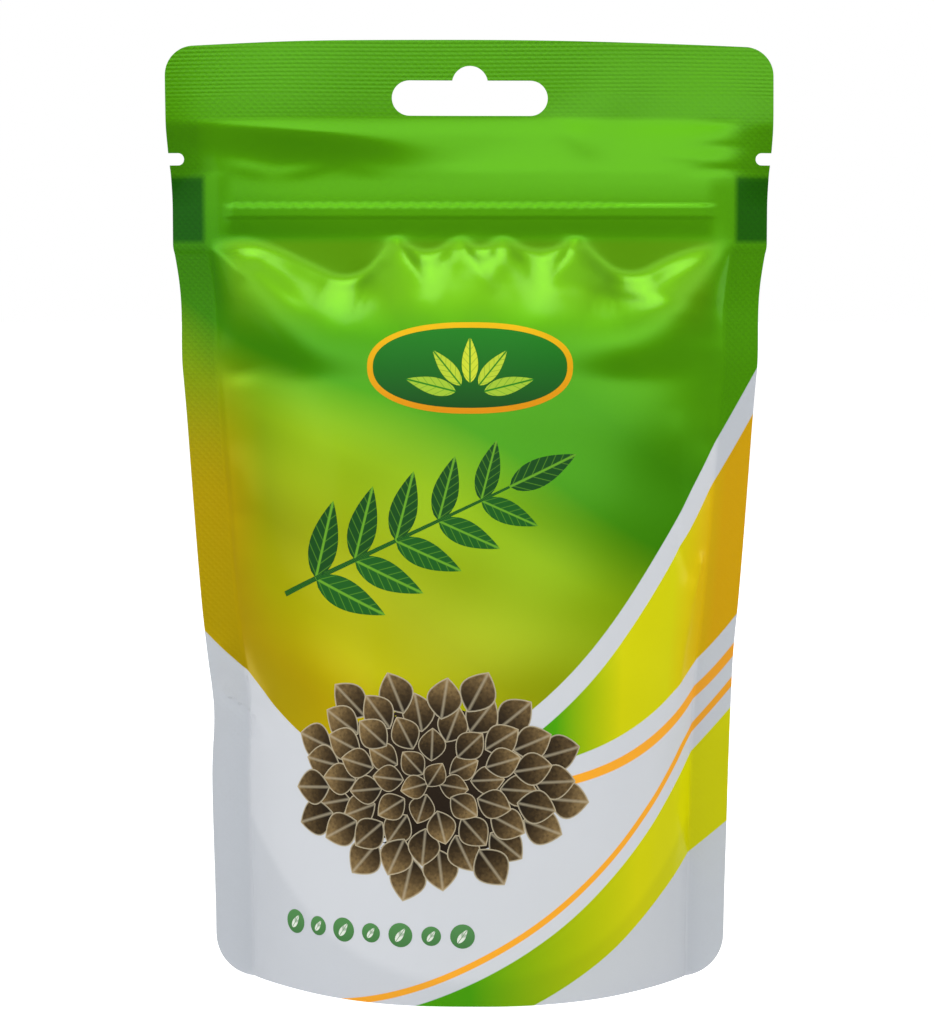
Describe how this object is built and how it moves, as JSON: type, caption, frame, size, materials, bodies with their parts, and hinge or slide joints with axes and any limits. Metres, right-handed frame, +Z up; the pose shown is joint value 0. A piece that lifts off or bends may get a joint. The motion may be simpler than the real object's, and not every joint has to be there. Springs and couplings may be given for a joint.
{
  "type": "stand-up zip pouch",
  "caption": "Sealed stand-up zip pouch of printed film with a hang hole, tear notches and an opened bottom gusset, filled with moringa seeds.",
  "frame": {"origin": "centre of the base on the ground, below the middle line of the pouch", "axes": "+Z up, +X to the right as the front is seen, -Y out of the front wall"},
  "size_m": [0.125, 0.0518, 0.1953],
  "materials": {
    "front_film": "satin printed metallised film",
    "back_film": "satin printed metallised film",
    "gusset_film": "satin pearl white film",
    "zip": "natural polyethylene",
    "seed_coat": "dry brown seed coat"
  },
  "bodies": {
    "root": {"front_wall": "front_film", "back_wall": "back_film", "bottom_gusset": "gusset_film", "zip_groove_strip": "zip", "zip_ridge_strip": "zip", "seeds": "seed_coat"}
  },
  "joints": []
}
